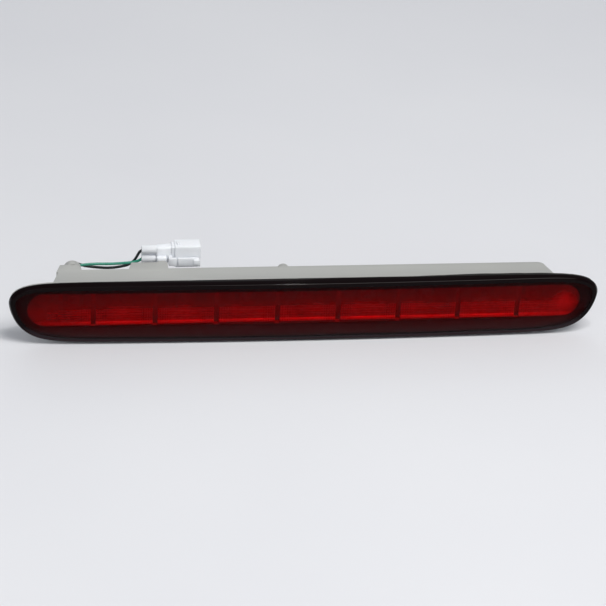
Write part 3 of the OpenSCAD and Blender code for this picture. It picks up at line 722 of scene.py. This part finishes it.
green_route = [
    (-149.5, -10.6, 4), (-149.5, -8.2, 4), (-151, -6, 4.6), (-154.5, -4.6, 6.4), (-156.5, -1.5, 8.3),
    (-156.7, 3, green_z), (-156.7, 9, green_z), (-156.7, 14.5, green_z), (-156.2, 16.2, 9.5),
    (-154, 17.3, 10), (-151, 17.8, 10.4), (-147, 18.3, 10.7), (-140.5, 19, 10.7), (-134, 19.2, 10.5),
    (-128, 19.2, 10.5), (-121, 19.2, 10.9), (-115, 19.2, 11.5), (-111.3, 19.4, 12.5),
    (-109.4, 19.5, lower_z - 0.6), (-107.9, 19.5, lower_z), (-106.5, 19.5, lower_z), (-98, 19.5, lower_z)]


def smooth_route(points, steps=6):
    """A curve through the points, each stretch eased by its neighbours."""
    p = [Vector(point) * MM for point in points]
    way = []
    for i in range(len(p) - 1):
        a, b, c, d = p[max(i - 1, 0)], p[i], p[i + 1], p[min(i + 2, len(p) - 1)]
        for t in (k / steps for k in range(steps)):
            way.append(0.5 * (2 * b + (c - a) * t + (2 * a - 5 * b + 4 * c - d) * t ** 2
                              + (3 * b - a - 3 * c + d) * t ** 3))
    return way + [p[-1]]


def wire(name, route, material, node):
    """Sweeps a round wire along its route, ring by ring, and closes both ends."""
    way = smooth_route(route)
    bm = bmesh.new()
    verts = bmesh.ops.create_circle(bm, segments=16, radius=wire_r, cap_ends=True)["verts"]
    edges = list(bm.edges)
    heading = (way[1] - way[0]).normalized()
    lean = Vector((0, 0, 1)).rotation_difference(heading).to_matrix()
    bmesh.ops.rotate(bm, verts=verts, cent=(0, 0, 0), matrix=lean)
    bmesh.ops.translate(bm, verts=verts, vec=way[0])
    for before, here, after in zip(way, way[1:], way[2:] + [2 * way[-1] - way[-2]]):
        verts, edges = grow(bm, edges)
        next_heading = (after - before).normalized()
        bmesh.ops.translate(bm, verts=verts, vec=here - before)
        bend = heading.rotation_difference(next_heading).to_matrix()
        bmesh.ops.rotate(bm, verts=verts, cent=here, matrix=bend)
        heading = next_heading
    bmesh.ops.edgeloop_fill(bm, edges=edges)
    bmesh.ops.recalc_face_normals(bm, faces=bm.faces)
    piece = piece_from(bm, name, material)
    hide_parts(node)
    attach(piece, "lamp")


pvc = {"IOR": 1.53, "Specular IOR Level": 0.5}
black_pvc = mottled("black_pvc", pvc, 350.0, 2.0, ("0d1213", "1c2425"), (0.28, 0.42))
green_pvc = mottled("green_pvc", pvc, 350.0, 2.0, ("1d7a63", "2c967c"), (0.28, 0.42))
wire("black_wire", black_route, black_pvc, "lead_black")
wire("green_wire", green_route, green_pvc, "lead_green")

# ---- Connector ---------------------------------------------------------------------------
# Two-way sealed connector moulded in natural nylon 66: white with a cold tint, a little
# translucent in its thin walls, satin from the tool. The latch and the terminal lock match it.
# The body is built from tubes and rounded blocks, with a tapered middle.
nylon = mottled("natural_nylon_66", {
    "IOR": 1.53, "Specular IOR Level": 0.45, "Subsurface Weight": 0.5, "Subsurface Scale": 0.003,
    "Subsurface Radius": (1.0, 1.0, 1.0)}, 160.0, 3.0, ("eef1f7", "f6f8fc"), (0.3, 0.48))

shell_low, shell_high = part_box("connector_shell")
con_y = 19.5 * MM
tube_x, head_x, mouth_x = shell_low.x, -87 * MM, shell_high.x
head_wall = 1.4 * MM


def rounded_block(bm, low, high, radius, shrink=1.0, mouth=0.0, depth=0.0):
    """Adds a box with rounded edges. Shrink narrows its left end, and mouth is the wall left
    round a cavity that is sunk into its right end to a depth."""
    low, high = Vector(low), Vector(high)
    before = set(bm.edges)
    verts = bmesh.ops.create_cube(bm, size=1)["verts"]
    for vert in verts:
        narrow = shrink if vert.co.x < 0 else 1
        vert.co = Vector(((low + high) / 2 + Vector((vert.co.x, vert.co.y * narrow, vert.co.z * narrow))
                          * (high - low)))
    if mouth:
        end = max((face for face in bm.faces if set(face.verts) <= set(verts)),
                  key=lambda face: face.calc_center_median().x)
        bmesh.ops.inset_region(bm, faces=[end], thickness=mouth)
        made = bmesh.ops.extrude_discrete_faces(bm, faces=[end])["faces"]
        bmesh.ops.translate(bm, verts=made[0].verts, vec=(-depth, 0, 0))
    edges = [edge for edge in bm.edges if edge not in before and edge.calc_face_angle(0) > 0.5]
    bmesh.ops.bevel(bm, geom=edges, affect="EDGES", offset=radius, segments=3, profile=0.5, material=-1)


bm = bmesh.new()
for z in (lower_z * MM, upper_z * MM):
    rings = ((2.1, 0.3), (2.35, 0), (2.75, 0), (3, 0.3), (3, 10.2), (2.1, 10.2), (2.1, 0.3))
    chain = [bm.verts.new((tube_x + along * MM, con_y + radius * MM, z)) for radius, along in rings[:-1]]
    lines = [bm.edges.new(pair) for pair in zip(chain, chain[1:] + chain[:1])]
    bmesh.ops.spin(bm, geom=chain + lines, cent=(0, con_y, z), axis=(1, 0, 0), angle=math.tau, steps=36,
                   use_merge=True)
bmesh.ops.remove_doubles(bm, verts=bm.verts, dist=0.001 * MM)
for low, high, radius, shrink in (
        ((-99.5, 15.9, 11.2), (-88.8, 23.1, 23.8), 1.0, 0.9),
        ((-99.0, 18.6, 16.9), (-89.0, 20.4, 18.1), 0.3, 1),
        ((-89.3, 15.0, 10.6), (-86.8, 24.0, 24.4), 0.7, 1),
        ((-85.5, 17.5, 24.8), (-83.5, 21.5, 26.25), 0.4, 1),
        ((-99.3, 12.2, 12.4), (-92.8, 16.2, 17.9), 0.5, 1),
        ((-91.4, 10.8, 12.2), (-85.9, 12.3, 18.0), 0.35, 1),
        ((-91.4, 12.0, 12.2), (-88.9, 16.2, 18.0), 0.35, 1)):
    rounded_block(bm, [v * MM for v in low], [v * MM for v in high], radius * MM, shrink)
rounded_block(bm, (head_x, 13.75 * MM, 9.75 * MM), (mouth_x, 25.25 * MM, 25.25 * MM), 0.45 * MM,
              mouth=head_wall, depth=13 * MM)
# A window through the head's front wall, which the latch's catch sinks into when it is pressed.
walls = (13.75 * MM, 13.75 * MM + head_wall)
window_low, window_high = Vector((-77, 0, 13.4)) * MM, Vector((-72.6, 0, 16.8)) * MM


def wall_faces(low, high):
    """Faces of the head's front wall, outside and inside, whose middle lies within a range."""
    found = []
    for face in bm.faces:
        middle = face.calc_center_median()
        if (abs(face.normal.y) > 0.99 and min(abs(middle.y - wall) for wall in walls) < 0.01 * MM
                and low.x < middle.x < high.x and low.z < middle.z < high.z):
            found.append(face)
    return found


bm.normal_update()
for axis in (0, 2):
    for corner in (window_low, window_high):
        faces = wall_faces(Vector((head_x, 0, 9 * MM)), Vector((mouth_x, 0, 26 * MM)))
        edges = {edge for face in faces for edge in face.edges}
        verts = {vert for face in faces for vert in face.verts}
        bmesh.ops.bisect_plane(bm, geom=[*faces, *edges, *verts], dist=0.001 * MM, plane_co=corner,
                               plane_no=[float(axis == 0), 0, float(axis == 2)])
opened = wall_faces(window_low, window_high)
edges = [edge for face in opened for edge in face.edges]
bmesh.ops.delete(bm, geom=opened, context="FACES_ONLY")
bmesh.ops.bridge_loops(bm, edges=edges)
bmesh.ops.recalc_face_normals(bm, faces=bm.faces)
shell = piece_from(bm, "connector_body", nylon, sharp=40)
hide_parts("connector_shell")
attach(shell, "lamp")
rounded_copy("connector_latch", "latch_lever", nylon, 0.25 * MM, body="latch")
rounded_copy("terminal_lock", "lock_wedge", nylon, 0.3 * MM, body="terminal_lock")

# ---- Terminals, seals and the parts on the board -------------------------------------------
# Small parts carried over as they are, each with its own finish.
brass = mottled("tin_plated_brass", {"Metallic": 1.0, "Roughness": 0.3}, 900.0, 3.0, ("b8ab84", "d3cbb0"))
paint("connector_pins", brass)

silicone = mottled("blue_silicone", {"Roughness": 0.5}, 600.0, 2.0, ("2a62a0", "3a78b8"))
paint("wire_seals", silicone)

laminate, laminate_shader = material_of("fr4_green_mask", {"Roughness": 0.35})
laminate_coords = add(laminate, "ShaderNodeTexCoord", {})
laminate_weave = add(laminate, "ShaderNodeTexBrick", {
    "Scale": 160.0, "Color1": linear("1b5c33"), "Color2": linear("22693c"), "Mortar": linear("184f2d")},
    {"Vector": laminate_coords.outputs["Object"]})
feed(laminate, laminate_weave, laminate_shader.inputs["Base Color"])
paint("circuit_board", laminate)

epoxy = mottled("tinted_led_epoxy", {"Roughness": 0.12, "IOR": 1.53}, 400.0, 2.0, ("a8323a", "c25058"))
paint("leds", epoxy)

lacquer, lacquer_shader = material_of("resistor_lacquer", {"Roughness": 0.4})
lacquer_coords = add(lacquer, "ShaderNodeTexCoord", {})
lacquer_bands = add(lacquer, "ShaderNodeTexWave", {"Scale": 140.0, "bands_direction": "Z"}, {
    "Vector": lacquer_coords.outputs["Object"]})
lacquer_tone = add(lacquer, "ShaderNodeValToRGB", {}, {"Fac": lacquer_bands})
lacquer_tone.color_ramp.elements[0].color = linear("d8c39a")
lacquer_tone.color_ramp.elements[1].color = linear("7a4a2a")
lacquer_tone.color_ramp.elements[1].position = 0.9
feed(lacquer, lacquer_tone, lacquer_shader.inputs["Base Color"])
paint("resistors", lacquer)

moulded_epoxy = mottled("black_moulded_epoxy", {"Roughness": 0.45}, 1200.0, 2.0, ("202024", "2c2c30"))
paint("polarity_diode", moulded_epoxy)

solder = mottled("bright_solder", {"Metallic": 1.0}, 1500.0, 2.0, ("a9abaf", "c9cbce"), (0.2, 0.4))
paint("solder_joints", solder)
